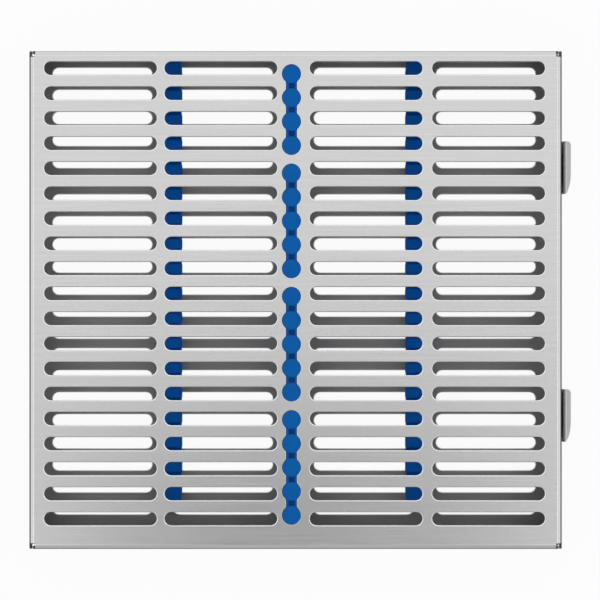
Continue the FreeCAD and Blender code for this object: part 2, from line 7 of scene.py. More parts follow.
# %% Load the frame
import bpy
import math
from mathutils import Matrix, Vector
from mathutils.geometry import delaunay_2d_cdt


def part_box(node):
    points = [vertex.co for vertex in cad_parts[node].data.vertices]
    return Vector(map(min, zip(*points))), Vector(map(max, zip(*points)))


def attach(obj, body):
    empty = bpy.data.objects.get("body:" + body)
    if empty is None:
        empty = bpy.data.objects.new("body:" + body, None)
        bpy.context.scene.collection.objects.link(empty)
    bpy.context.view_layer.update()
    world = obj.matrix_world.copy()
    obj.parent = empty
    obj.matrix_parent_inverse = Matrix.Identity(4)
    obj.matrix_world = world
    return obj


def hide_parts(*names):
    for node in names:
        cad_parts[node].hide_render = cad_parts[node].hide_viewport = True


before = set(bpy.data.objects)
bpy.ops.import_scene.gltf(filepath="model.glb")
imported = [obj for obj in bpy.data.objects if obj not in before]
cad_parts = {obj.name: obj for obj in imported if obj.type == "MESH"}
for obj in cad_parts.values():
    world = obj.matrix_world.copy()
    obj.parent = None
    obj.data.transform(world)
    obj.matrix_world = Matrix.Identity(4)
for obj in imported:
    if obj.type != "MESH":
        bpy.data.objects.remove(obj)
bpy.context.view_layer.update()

# %% [markdown]
# The photograph looks straight down from about two metres through a long lens, so the lid's edges stay
# parallel and the tray, 31 mm lower, shows only a little smaller. The camera hangs above the middle of
# the picture, which lies 1.7 mm to the right of the cassette's own middle.

# %% Camera
MM = 0.001
CAMERA_PLACE = (1.7 * MM, 0, 2.032)

scene = bpy.context.scene
scene.view_settings.view_transform = "Standard"
camera_data = bpy.data.cameras.new("camera")
camera_data.sensor_width = 36
camera_data.lens = 312
camera = bpy.data.objects.new("camera", camera_data)
camera.location = CAMERA_PLACE
scene.collection.objects.link(camera)
scene.camera = camera
print("field of view", round(math.degrees(camera_data.angle), 2), "degrees")

# %% [markdown]
# A finish is a small graph of nodes. To write its maths as plain sums, a wire wraps one output socket,
# and its operators add the Math nodes. Every other node comes from one method, which sets the node's
# settings first and its sockets after them, because some settings change which sockets there are.

# %% Wires and graphs
class Wire:
    def __init__(self, graph, socket):
        self.graph = graph
        self.socket = socket

    def out(self, name):
        """Another output of the same node."""
        return Wire(self.graph, self.socket.node.outputs[name])

    def math(self, operation, *values):
        return self.graph.add("ShaderNodeMath", {"operation": operation}, dict(enumerate(values)))

    def __add__(self, other):
        return self.math("ADD", self, other)

    def __sub__(self, other):
        return self.math("SUBTRACT", self, other)

    def __rsub__(self, other):
        return self.math("SUBTRACT", other, self)

    def __mul__(self, other):
        return self.math("MULTIPLY", self, other)

    def __abs__(self):
        return self.math("ABSOLUTE", self)

    def __gt__(self, other):
        return self.math("GREATER_THAN", self, other)

    __radd__ = __add__
    __rmul__ = __mul__


class Graph:
    def __init__(self, owner):
        owner.use_nodes = True
        self.tree = owner.node_tree
        self.tree.nodes.clear()

    def add(self, kind, settings=None, sockets=None, out=0):
        """Add a node and return one of its outputs. stops are the positions and colours of a colour ramp."""
        node = self.tree.nodes.new(kind)
        for name, value in (settings or {}).items():
            if name == "stops":
                ramp = node.color_ramp
                ramp.elements[0].position, ramp.elements[0].color = value[0]
                ramp.elements[1].position, ramp.elements[1].color = value[-1]
                for position, color in value[1:-1]:
                    ramp.elements.new(position).color = color
            else:
                setattr(node, name, value)
        for name, value in (sockets or {}).items():
            if isinstance(value, Wire):
                self.tree.links.new(value.socket, node.inputs[name])
            else:
                node.inputs[name].default_value = value
        return Wire(self, node.outputs[out]) if node.outputs else None

    def mix(self, factor, first, second):
        return self.add("ShaderNodeMix", {"data_type": "RGBA"}, {0: factor, 6: first, 7: second}, out=2)

    def stretched(self, place, scale):
        return self.add("ShaderNodeVectorMath", {"operation": "MULTIPLY"}, {0: place, 1: scale})

    def step(self, value, start, end):
        """0 until start and 1 from end on, with a soft passage between them. start may be above end."""
        return self.add("ShaderNodeMapRange", {"interpolation_type": "SMOOTHSTEP"}, {
            "Value": value, "From Min": start, "From Max": end})

    def noise(self, place, detail=3.0, roughness=0.55):
        return self.add("ShaderNodeTexNoise", {}, {
            "Vector": place, "Scale": 1.0, "Detail": detail, "Roughness": roughness})

    def bump(self, height, strength, distance):
        return self.add("ShaderNodeBump", {}, {"Strength": strength, "Distance": distance, "Height": height})

    def finish(self, sockets):
        """End a material in one Principled shader with these sockets."""
        shader = self.add("ShaderNodeBsdfPrincipled", {}, sockets)
        self.add("ShaderNodeOutputMaterial", {}, {"Surface": shader})


# %% [markdown]
# The picture's background is pure white, also through the slots. The floor is a pale matt sheet. To the
# camera, and to the steel that mirrors it, most of it glows white and the rest shows the real light,
# so that a faint shadow of the cassette stays. It adds no light to the cassette itself.

# %% Floor
FLOOR_REACH = 4.0
FLOOR_Z = -0.0001
FLOOR_COLOR = (0.86, 0.86, 0.86, 1)
WHITE = (1, 1, 1, 1)
GLOWING_SHARE = 0.94


def seen_directly(graph):
    """1 for a ray from the camera, also after a mirroring or a clear surface, and 0 for other light."""
    path = graph.add("ShaderNodeLightPath", out="Is Camera Ray")
    seen = path + path.out("Is Glossy Ray") + path.out("Is Transmission Ray")
    return seen.math("MINIMUM", seen, 1.0)


floor_finish = bpy.data.materials.new("pale_floor")
graph = Graph(floor_finish)
matt = graph.add("ShaderNodeBsdfDiffuse", {}, {"Color": FLOOR_COLOR})
glow = graph.add("ShaderNodeEmission", {}, {"Color": WHITE, "Strength": 1.0})
pale = graph.add("ShaderNodeMixShader", {}, {0: seen_directly(graph) * GLOWING_SHARE, 1: matt, 2: glow})
graph.add("ShaderNodeOutputMaterial", {}, {"Surface": pale})

floor_mesh = bpy.data.meshes.new("floor")
floor_mesh.from_pydata([(-FLOOR_REACH, -FLOOR_REACH, FLOOR_Z), (FLOOR_REACH, -FLOOR_REACH, FLOOR_Z),
                        (FLOOR_REACH, FLOOR_REACH, FLOOR_Z), (-FLOOR_REACH, FLOOR_REACH, FLOOR_Z)],
                       [], [(0, 1, 2, 3)])
floor_mesh.materials.append(floor_finish)
floor = bpy.data.objects.new("floor", floor_mesh)
scene.collection.objects.link(floor)
print("floor", 2 * FLOOR_REACH, "metres wide")

# %% [markdown]
# Satin steel shows what is round it, so the light is arranged as a photographer would: a white surround,
# a wide soft box overhead towards the back, and a smaller one at the front on either side. All three
# face straight down, a metre and a half up. Between the two at the front a gap stays free, and the lid
# mirrors that gap as the soft dark patch at the middle of its front edge.

# %% Light
SURROUND = [(0.0, WHITE), (0.55, WHITE), (0.9, (0.6, 0.6, 0.61, 1)), (0.98, (0.1, 0.1, 0.1, 1))]
SURROUND_STRENGTH = 0.7
BOX_HEIGHT = 1.5

world = bpy.data.worlds.new("studio")
scene.world = world
graph = Graph(world)
way = graph.add("ShaderNodeTexCoord", out="Generated")
height = graph.add("ShaderNodeSeparateXYZ", {}, {0: way}, out="Z")
surround = graph.add("ShaderNodeValToRGB", {"stops": SURROUND}, {0: height})
seen = seen_directly(graph)
strength = seen + (1 - seen) * SURROUND_STRENGTH
sky = graph.add("ShaderNodeBackground", {}, {"Color": surround, "Strength": strength})
graph.add("ShaderNodeOutputWorld", {}, {"Surface": sky})


def soft_box(name, x, y, width, depth, power):
    lamp = bpy.data.lights.new(name, "AREA")
    lamp.shape = "RECTANGLE"
    lamp.size = width
    lamp.size_y = depth
    lamp.energy = power
    box = bpy.data.objects.new(name, lamp)
    box.location = (x, y, BOX_HEIGHT)
    scene.collection.objects.link(box)
    print(name, power, "watts")


soft_box("back_box", 0, 0.41, 2.0, 1.0, 5.2)
soft_box("left_box", -0.58, -0.56, 0.9, 0.9, 2.35)
soft_box("right_box", 0.58, -0.56, 0.9, 0.9, 2.35)

# %% [markdown]
# The cassette is folded from stainless sheet with a fine satin grain that runs along it from hinge to
# latch, and across on the end walls. The grain is noise stretched far along that direction. A broad
# cloudiness changes the tint a little, and a few long hairlines cross it. The outer curve of each fold
# is painted dark, a painted reflection of the dark surround, the front one from its start and the back
# one least. The punched rims get a painted highlight where they face the back and painted shade
# towards the front.

# %% Satin steel
ALONG_GRAIN, ACROSS_GRAIN = 30, 900
END_WALL_FROM = 0.7
# Each pair says where a soft passage starts and where it ends, in the value that it looks at.
OFF_THE_RIM = (0.25, 0.0)
BEFORE_THE_WALL = (0.99, 0.92)
# Painted shade on the bends: the front bend from its start, the end walls' a little wider, the back's least.
FRONT_BEND_SHADE, FRONT_BEND_SHADE_SHARE = (-0.1, -0.35), 0.4
FOLD_SHADE_TILT, END_FOLD_SHADE_WIDER = (0.3, 0.5), 0.15
AWAY_FROM_BACK = (1.4, 0.2)
# Painted highlight on rims that face the back, painted shade on rims that face the front.
RIM_PAINTED_HIGHLIGHT = (-0.35, 0.25)
RIM_PAINTED_SHADE, RIM_PAINTED_SHADE_SHARE = (-0.1, -0.6), 0.7
HAIRLINE, HAIRLINE_SHARE = (0.64, 0.74), 0.35


def grey(value):
    """A neutral grey with a trace of blue, as steel has."""
    return (value, value, value * 1.005, 1)


def satin_steel(name, light, shade, painted_shade_grey, roughness, highlight_and_hairline_grey):
    """light and shade are the greys of the grain. The grey after them is for the painted shade on the bends
    and front-facing rims, and the last grey for the painted highlight on back-facing rims and for the
    hairlines.
    """
    material = bpy.data.materials.new(name)
    graph = Graph(material)
    place = graph.add("ShaderNodeTexCoord", out="Object")
    facing = graph.add("ShaderNodeSeparateXYZ", {}, {0: place.out("Normal")}, out="X")
    to_back = facing.out("Y")
    end_wall = abs(facing) > END_WALL_FROM
    tilt = 1 - abs(facing.out("Z"))
    rim = graph.add("ShaderNodeAttribute", {"attribute_name": "rim"}, out="Fac")
    plain = graph.step(rim, *OFF_THE_RIM)
    punched = 1 - plain

    short_of_wall = graph.step(tilt, *BEFORE_THE_WALL) * plain
    front_bend_painted_shade = graph.step(to_back, *FRONT_BEND_SHADE) * short_of_wall
    edge_tilt = tilt + abs(facing) * END_FOLD_SHADE_WIDER
    bend_painted_shade = graph.step(edge_tilt, *FOLD_SHADE_TILT) * graph.step(to_back, *AWAY_FROM_BACK) * short_of_wall

    along = graph.stretched(place, (ALONG_GRAIN, ACROSS_GRAIN, ACROSS_GRAIN))
    across = graph.stretched(place, (ACROSS_GRAIN, ALONG_GRAIN, ACROSS_GRAIN))
    ways = {0: end_wall, 4: along, 5: across}
    grain_place = graph.add("ShaderNodeMix", {"data_type": "VECTOR"}, ways, out=1)
    grain = graph.noise(grain_place, 3.0, 0.6)
    fine = graph.noise(graph.stretched(grain_place, (1.5, 4, 4)), 2.0, 0.6)
    cloud = graph.noise(graph.stretched(place, (18, 40, 30)), 2.0)
    scratch = graph.step(graph.noise(graph.stretched(grain_place, (0.5, 5, 5)), 1.0), *HAIRLINE)

    tint = graph.mix(grain * 0.6 + cloud * 0.4, grey(light), grey(shade))
    tint = graph.mix(scratch * HAIRLINE_SHARE, tint, grey(highlight_and_hairline_grey))
    # Painted shade on the bends, standing for the dark surround that they mirror.
    tint = graph.mix(front_bend_painted_shade * FRONT_BEND_SHADE_SHARE, tint, grey(painted_shade_grey))
    tint = graph.mix(bend_painted_shade, tint, grey(painted_shade_grey))
    # Painted highlight on the rims facing the back, then painted shade on those facing the front.
    tint = graph.mix(punched * graph.step(to_back, *RIM_PAINTED_HIGHLIGHT), tint, grey(highlight_and_hairline_grey))
    tint = graph.mix(punched * graph.step(to_back, *RIM_PAINTED_SHADE) * RIM_PAINTED_SHADE_SHARE, tint, grey(painted_shade_grey))
    rough = roughness + (grain - 0.5) * 0.08 + (cloud - 0.5) * 0.05
    graph.finish({"Base Color": tint, "Metallic": 1.0, "Roughness": rough,
                  "Normal": graph.bump(fine, 0.06, 0.00003)})
    print("finish", name)
    return material


lid_steel = satin_steel("lid_satin_steel", 0.74, 0.63, 0.05, 0.21, 0.95)
tray_steel = satin_steel("tray_satin_steel", 0.60, 0.50, 0.30, 0.32, 0.78)
# Painted shade: the tray's inside is painted much darker than its outside.
painted_shade_inside_steel = satin_steel("tray_inside_painted_shade_steel", 0.25, 0.19, 0.18, 0.46, 0.34)
# Painted shade: the lid's cut edges are near black, so the corner nicks look deep in shade.
painted_shade_edge_steel = satin_steel("cut_edge_painted_shade_steel", 0.07, 0.05, 0.05, 0.5, 0.08)
# Painted shade: the tray's cut edges are dark where they show inside the corner nicks.
painted_shade_rim_steel = satin_steel("tray_rim_painted_shade_steel", 0.26, 0.2, 0.22, 0.45, 0.28)
latch_steel = satin_steel("latch_steel", 0.50, 0.42, 0.42, 0.30, 0.62)
wire_steel = satin_steel("wire_steel", 0.66, 0.58, 0.5, 0.28, 0.8)

# %% [markdown]
# Studs and rails are moulded in blue silicone rubber. It is matt with a soft shine, slightly uneven in
# tint, and its skin has the faint texture of the mould, which is a very shallow bump.

# %% Blue silicone
# Studs and rails are mixed towards a lighter blue towards their edges, by the rim value.
EDGE_BLUE, EDGE_BLUE_SHARE = (0.005, 0.16, 0.48, 1), 0.25
CLOUD_SCALE, TEXTURE_SCALE = (110, 110, 110), (2200, 2200, 2200)


def silicone(name, color, deep, roughness):
    material = bpy.data.materials.new(name)
    graph = Graph(material)
    place = graph.add("ShaderNodeTexCoord", out="Object")
    cloud = graph.noise(graph.stretched(place, CLOUD_SCALE), 3.0)
    texture = graph.noise(graph.stretched(place, TEXTURE_SCALE), 2.0)
    rim = graph.add("ShaderNodeAttribute", {"attribute_name": "rim"}, out="Fac")
    tint = graph.mix(rim * EDGE_BLUE_SHARE, graph.mix(cloud, color, deep), EDGE_BLUE)
    rough = roughness + (cloud - 0.5) * 0.15 + (texture - 0.5) * 0.1
    graph.finish({"Base Color": tint, "Roughness": rough, "Specular IOR Level": 0.08,
                  "Normal": graph.bump(texture, 0.15, 0.00004)})
    print("finish", name)
    return material


stud_silicone = silicone("stud_silicone", (0.0, 0.13, 0.49, 1), (0.0, 0.10, 0.37, 1), 0.42)
rail_silicone = silicone("rail_silicone", (0.0, 0.13, 0.55, 1), (0.0, 0.095, 0.42, 1), 0.5)

# %% [markdown]
# A mesh needs points, faces and, for clean highlights, a normal at every point. The workpiece gathers
# all three in millimetres. Each point is given the normal of the true surface, so large flat faces
# stay flat next to finely rounded rims, and a face is turned to agree with the normals of its points.
# The rim value of a point, from 0 to 1, tells the finish how far it lies on a rim or a cut edge.

# %% Workpiece
class Workpiece:
    def __init__(self):
        self.points = []
        self.normals = []
        self.rims = []
        self.faces = []
        self.finishes = []

    def point(self, place, normal, rim=0.0):
        self.points.append(place)
        self.normals.append(normal.normalized())
        self.rims.append(rim)
        return len(self.points) - 1

    def face(self, corners, finish=0):
        spots = [self.points[i] - self.points[corners[0]] for i in corners]
        facing = Vector()
        for here, there in zip(spots, spots[1:] + spots[:1]):
            facing += here.cross(there)
        wanted = sum((self.normals[i] for i in corners), Vector())
        if facing.dot(wanted) < 0:
            corners = tuple(reversed(corners))
        self.faces.append(tuple(corners))
        self.finishes.append(finish)

    def make(self, name, body, nodes, finishes):
        mesh = bpy.data.meshes.new(name)
        mesh.from_pydata([tuple(point * MM) for point in self.points], [], self.faces)
        mesh.polygons.foreach_set("material_index", self.finishes)
        mesh.polygons.foreach_set("use_smooth", [True] * len(self.faces))
        mesh.attributes.new("rim", "FLOAT", "POINT").data.foreach_set("value", self.rims)
        mesh.normals_split_custom_set_from_vertices([tuple(normal) for normal in self.normals])
        for finish in finishes:
            mesh.materials.append(finish)
        piece = bpy.data.objects.new(name, mesh)
        scene.collection.objects.link(piece)
        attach(piece, body)
        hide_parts(*nodes)
        print(name, "has", len(self.points), "points and", len(self.faces), "faces")


X, Y, Z = Vector((1, 0, 0)), Vector((0, 1, 0)), Vector((0, 0, 1))

# %% [markdown]
# An outline is a list of spots, each with the direction that points out of it and a weight. To make it
# larger or smaller, every spot slides along its own direction. The weight is 0 where the sheet goes on
# into a bend, so that no rim is rounded there.

# %% Outlines
def arc(u, v, radius, start, end, steps):
    spots = []
    for i in range(steps + 1):
        angle = math.radians(start + (end - start) * i / steps)
        way = Vector((math.cos(angle), math.sin(angle)))
        spots.append((Vector((u, v)) + way * radius, way, 1))
    return spots


def slot(u, v, length, width, steps=10):
    half = (length - width) / 2
    return arc(u + half, v, width / 2, -90, 90, steps) + arc(u - half, v, width / 2, 90, 270, steps)


def rounded(corners, steps=4):
    """An outline through corners (u, v, radius, weight), counter-clockwise."""
    spots = []
    for i, (u, v, radius, weight) in enumerate(corners):
        here = Vector((u, v))
        last, following = corners[i - 1], corners[(i + 1) % len(corners)]
        before = (here - Vector(last[:2])).normalized()
        after = (Vector(following[:2]) - here).normalized()
        turn = math.atan2(before.x * after.y - before.y * after.x, before.dot(after))
        first, second = Vector((before.y, -before.x)), Vector((after.y, -after.x))
        if radius == 0 or abs(turn) < 0.001:
            way = first if last[3] or not following[3] else second
            spots.append((here, way, weight))
            continue
        sense = 1 if turn > 0 else -1
        middle = here - before * radius * math.tan(abs(turn) / 2) - first * radius * sense
        for step in range(steps + 1):
            angle = turn * step / steps
            way = Vector((first.x * math.cos(angle) - first.y * math.sin(angle),
                          first.x * math.sin(angle) + first.y * math.cos(angle)))
            spots.append((middle + way * radius * sense, way, weight))
    return spots


def box_outline(u0, u1, v0, v1, radius):
    return rounded([(u0, v0, radius, 1), (u1, v0, radius, 1), (u1, v1, radius, 1), (u0, v1, radius, 1)])


def changed(loops, change):
    """The same outlines with every spot and direction changed alike, such as mirrored."""
    return [[(change(spot), change(way), weight) for spot, way, weight in loop] for loop in loops]


# %% [markdown]
# A plate is an outline with a thickness. Its rims, round the outside and round each hole, are small
# quarter rounds on both faces, as a punched and tumbled sheet has them. Two rings of spots at each rim
# would be a plain chamfer. Four rings on each face give the fine line of light that the photograph
# shows along the slots, and the steel's finish adds a painted highlight to that line. The flat between
# the holes is filled with evenly shaped triangles: the slots' edges lie in line, and triangles of no
# area along such a line would spoil the normals beside them.

# %% Plate
RIM_STEPS = 3
INSIDE_WITHOUT_HOLES = 2
SAME_SPOT = 1e-5


def flat_triangles(loops):
    """Fill an outline, without its holes, with triangles. Each is three numbers of spots, counted through."""
    spots = [spot for loop in loops for spot in loop]
    rings, start = [], 0
    for loop in loops:
        rings.append(list(range(start, start + len(loop))))
        start += len(loop)
    filled = delaunay_2d_cdt(spots, [], rings, INSIDE_WITHOUT_HOLES, SAME_SPOT)
    triangles, sources = filled[2], filled[3]
    return [[sources[i][0] for i in triangle] for triangle in triangles]


def rim_levels(depth, rims):
    """For each ring: how far down and how far in it lies, and the two parts of its normal."""
    levels = []
    for i in range(RIM_STEPS + 1):
        angle = math.pi / 2 * i / RIM_STEPS
        lean, edge = math.cos(angle), math.sin(angle)
        levels.append((rims[0] * (1 - lean), rims[0] * (1 - edge), lean, edge))
    for down, inset, lean, edge in levels[::-1]:
        levels.append((depth - rims[1] * (1 - lean), rims[1] * (1 - edge), -lean, edge))
    return levels


def plate(work, outline, place, u, v, depth, rims, holes=(), finishes=(0, 0, 0)):
    """u and v lie in the plate, its outer face looks along u x v, and it goes depth back from there.
    rims are the rounds at both faces. finishes are for the outer face, the edges and the inner face."""
    out = u.cross(v)
    levels = rim_levels(depth, rims)
    outer, inner, flat = [], [], []
    for loop, sense in [(outline, 1)] + [(hole, -1) for hole in holes]:
        rings = []
        for down, inset, lean, edge in levels:
            ring = []
            for spot, way, weight in loop:
                at = spot - way * (sense * inset * weight)
                side = (u * way.x + v * way.y) * sense
                corner = place + u * at.x + v * at.y - out * down
                ring.append(work.point(corner, out * lean + side * edge, edge))
            rings.append(ring)
        for upper, lower in zip(rings, rings[1:]):
            for i in range(len(loop)):
                j = (i + 1) % len(loop)
                if loop[i][2] or loop[j][2]:
                    work.face((upper[i], upper[j], lower[j], lower[i]), finishes[1])
        outer += rings[0]
        inner += rings[-1]
        flat.append([spot - way * (sense * rims[0] * weight) for spot, way, weight in loop])
    for corners in flat_triangles(flat):
        work.face([outer[i] for i in corners], finishes[0])
        work.face([inner[i] for i in corners], finishes[2])


# %% [markdown]
# Bends, rolled hinge loops and any other strip of sheet follow a path. A ribbon takes the outer face's
# path with its normals, and adds the inner face, the two side edges and, for a roll, its free tip.

# %% Ribbon
CUT_EDGE = 0.5


def ribbon(work, path, along, sheet, finishes=(0, 0, 0), tip=False):
    """along is the strip's width as a vector. finishes are for the outer face, the inner and the edges."""
    side = along.normalized()
    rows = []
    for place, normal in path:
        under = place - normal * sheet
        rows.append((work.point(place, normal), work.point(place + along, normal),
                     work.point(under, -normal), work.point(under + along, -normal)))
    for here, there in zip(rows, rows[1:]):
        work.face((here[0], here[1], there[1], there[0]), finishes[0])
        work.face((here[2], here[3], there[3], there[2]), finishes[1])
    for shift, facing in ((Vector(), -side), (along, side)):
        edge = []
        for place, normal in path:
            edge.append((work.point(place + shift, facing, CUT_EDGE),
                         work.point(place - normal * sheet + shift, facing, CUT_EDGE)))
        for here, there in zip(edge, edge[1:]):
            work.face((here[0], there[0], there[1], here[1]), finishes[2])
    if tip:
        place, normal = path[-1]
        onward = normal.cross(side)
        facing = onward if (place - path[-2][0]).dot(onward) > 0 else -onward
        spots = [place, place + along, place + along - normal * sheet, place - normal * sheet]
        work.face([work.point(spot, facing, CUT_EDGE) for spot in spots], finishes[0])


def round_path(centre, first, second, radius, start, end, steps):
    """Places and normals on a circle, from the direction first towards second, in degrees."""
    path = []
    for i in range(steps + 1):
        angle = math.radians(start + (end - start) * i / steps)
        way = first * math.cos(angle) + second * math.sin(angle)
        path.append((centre + way * radius, way))
    return path


# %% [markdown]
# Lid and tray are both pans: a plate with a bend on each side and a wall on each bend. The walls at the
# hinge and latch ends run the full width, the front and back walls stop just short of them, and a
# square relief is left open at each corner of the plate. In the photograph those are four dark nicks,
# and the cut edges round them are painted dark, a painted shade that deepens them.

# %% Folded pan
SHEET = 1.0
BEND = 2.0
RELIEF = 0.3
SEAM = SHEET + 0.3
EDGE_ROUND = 0.32
END_WALL_CORNER, SIDE_WALL_CORNER = 1.7, 0.6
WALL_RIMS = (0.15, 0.15)


def bend(work, start, along, outward, up, finishes):
    path = round_path(start + up * BEND, -up, outward, BEND, 0, 90, 8)
    ribbon(work, path, along, SHEET, finishes)


def pan_walls(low, high, face_z, up, heights, edges):
    """The outline of each wall. edges gives the corners of those free edges that aren't plain."""
    base = face_z + up * BEND
    inset = BEND + RELIEF
    end_wall = (low.y, high.y, low.y + inset, high.y - inset, END_WALL_CORNER)
    side_wall = (low.x + SEAM, high.x - SEAM, low.x + inset, high.x - inset, SIDE_WALL_CORNER)
    spans = {"hinge": end_wall, "latch": end_wall, "front": side_wall, "back": side_wall}
    walls = {}
    for side, (start, end, bend_start, bend_end, corner) in spans.items():
        edge_z = face_z + up * heights[side]
        edge = edges.get(side) or [(end, edge_z, EDGE_ROUND, 1), (start, edge_z, EDGE_ROUND, 1)]
        loop = [(start, base, corner, 1), (bend_start, base, 0, 0), (bend_end, base, 0, 0),
                (end, base, corner, 1)] + edge
        walls[side] = rounded(loop[::-1] if up < 0 else loop)
    return walls


def folded_pan(work, low, high, face_z, up, heights, holes, edges, wall_holes, finishes, rims):
    """up is 1 for a pan that opens upward and -1 for one that opens downward. finishes are numbers in
    the mesh's list, for the outside, the cut rims, the inside and the walls' cut edges."""
    outside, inside, cut = finishes[0], finishes[2], finishes[3]
    left, right, front, back = low.x + BEND, high.x - BEND, low.y + BEND, high.y - BEND
    rise, face = Z * up, Z * face_z
    middle = [(left + RELIEF, front), (right - RELIEF, front), (right, front + RELIEF),
              (right, back - RELIEF), (right - RELIEF, back), (left + RELIEF, back),
              (left, back - RELIEF), (left, front + RELIEF)]
    loops = [rounded([(u, v, 0, 0) for u, v in middle])] + list(holes)
    if up < 0:
        plate(work, loops[0], face, X, Y, SHEET, rims, loops[1:], finishes)
    else:
        loops = changed(loops, lambda spot: Vector((spot.y, spot.x)))
        plate(work, loops[0], face, Y, X, SHEET, rims, loops[1:], finishes)

    deep, wide = Y * (back - front - 2 * RELIEF), X * (right - left - 2 * RELIEF)
    for x, y, along, outward in ((left, front + RELIEF, deep, -X), (right, front + RELIEF, deep, X),
                                 (left + RELIEF, front, wide, -Y), (left + RELIEF, back, wide, Y)):
        bend(work, Vector((x, y, face_z)), along, outward, rise, (outside, inside, cut))
    for x, to_x in ((left, RELIEF), (right, -RELIEF)):
        for y, to_y in ((front, RELIEF), (back, -RELIEF)):
            corner = [Vector((x + to_x, y, face_z)), Vector((x, y + to_y, face_z))]
            corner += [spot + rise * SHEET for spot in reversed(corner)]
            work.face([work.point(spot, Vector((-to_x, -to_y, 0)), CUT_EDGE) for spot in corner], cut)

    planes = {"hinge": (X * low.x, -Y), "latch": (X * high.x, Y),
              "front": (Y * low.y, X), "back": (Y * high.y, -X)}
    for side, outline in pan_walls(low, high, face_z, up, heights, edges).items():
        loops = [outline] + list(wall_holes.get(side, ()))
        if side in ("hinge", "back"):
            loops = changed(loops, lambda spot: Vector((-spot.x, spot.y)))
        place, u = planes[side]
        plate(work, loops[0], place, u, Z, SHEET, WALL_RIMS, loops[1:], (outside, cut, inside))


# %% [markdown]
# The lid has four columns of nineteen slots and, along its middle, four scalloped openings for the
# studs: round holes joined by a neck. The places come from the photograph, where the columns don't
# stand quite evenly about the middle and the pattern stops further from the front edge than the back.

# %% Lid pattern
LID_COLUMNS = (-75.0625, -28.7375, 27.1375, 74.2625)
LID_ROWS = 19
LID_SLOT_LENGTH, LID_SLOT_WIDTH = 43.275, 5.0
ROWS_TO_BACK, ROWS_TO_FRONT = 6.7, 11.7
STUD_COUNTS = (4, 5, 5, 5)
STUDS_TO_BACK, STUDS_TO_FRONT = 8.85, 13.05
GROUP_STEP = 10.7
BEAD_X, BEAD_RADIUS = -1.6, 3.65
NECK_HALF, NECK_CLEARANCE = 2.1, 0.05
LID_RIM = 0.38

lid_low, lid_high = [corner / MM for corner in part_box("lid_cover")]
tray_low, tray_high = [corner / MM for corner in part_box("base_tray")]
print("lid", [round(value, 2) for value in lid_high - lid_low], "mm")
lid_pitch = (lid_high.y - lid_low.y - ROWS_TO_BACK - ROWS_TO_FRONT) / (LID_ROWS - 1)
lid_rows = [lid_high.y - ROWS_TO_BACK - i * lid_pitch for i in range(LID_ROWS)]
lid_slots = [slot(x, y, LID_SLOT_LENGTH, LID_SLOT_WIDTH) for x in LID_COLUMNS for y in lid_rows]

stud_run = lid_high.y - lid_low.y - STUDS_TO_BACK - STUDS_TO_FRONT - (len(STUD_COUNTS) - 1) * GROUP_STEP
stud_pitch = stud_run / (sum(STUD_COUNTS) - len(STUD_COUNTS))
stud_groups = []
y = lid_high.y - STUDS_TO_BACK
for count in STUD_COUNTS:
    stud_groups.append([y - i * stud_pitch for i in range(count)][::-1])
    y = stud_groups[-1][0] - GROUP_STEP
print("row pitch", round(lid_pitch, 3), "mm, stud pitch", round(stud_pitch, 3), "mm")


def scalloped(ys):
    """One opening: a round hole at each y, with necks between them that clear the rounded rims."""
    grown = BEAD_RADIUS + LID_RIM
    cut = math.degrees(math.acos((NECK_HALF + LID_RIM) / grown))
    reach = grown * math.sin(math.radians(cut)) + NECK_CLEARANCE
    right, left = [], []
    for i, y in enumerate(ys):
        last, first = i == len(ys) - 1, i == 0
        right += arc(BEAD_X, y, BEAD_RADIUS, -90 if first else -cut, 90 if last else cut, 12)
        left += arc(BEAD_X, y, BEAD_RADIUS, 270 if first else 180 + cut, 90 if last else 180 - cut, 12)
        if not last:
            for place in (y + reach, ys[i + 1] - reach):
                right.append((Vector((BEAD_X + NECK_HALF, place)), Vector((1, 0)), 1))
                left.append((Vector((BEAD_X - NECK_HALF, place)), Vector((-1, 0)), 1))
    return right[:-1] + left[::-1][:-1]


# %% [markdown]
# On the hinge side the lid's wall is cut up into windows for the tray's hinge loops, and between each
# pair of windows a tab goes down and rolls round the pin. The wall's free edge is written as corners
# from one end to the other, with the tabs' ends left without a rim, because the roll starts there.
# The rims of the scalloped openings are finer than those of the slots, which their weight says.

# %% Lid sheet
HINGE_X, HINGE_Z, ROLL = -100.65, 22.0, 1.85
HINGE_MIDDLES = (-55.0, 55.0)
LID_LOOP_HALF = 7.5
TRAY_LOOP_STARTS, TRAY_LOOP_LENGTH = (-17.9, 7.9), 10
WINDOW_HALF, WINDOW_Z = 18.3, 25.0
ROLL_START, LID_ROLL_END, TRAY_ROLL_END, ROLL_STEPS = 180, 505, -145, 26
LID_EDGE_Z, LID_WALL = 22.0, 10.0
LATCH_YS = {"front": -44.5, "back": 51.0}
NOSE_WINDOW_HALF, NOSE_WINDOW_HEIGHTS, NOSE_WINDOW_ROUND = 4.6, (25.1, 28.7), 0.5
FINE_RIM = 0.4
LID_RIMS = (LID_RIM, 0.15)

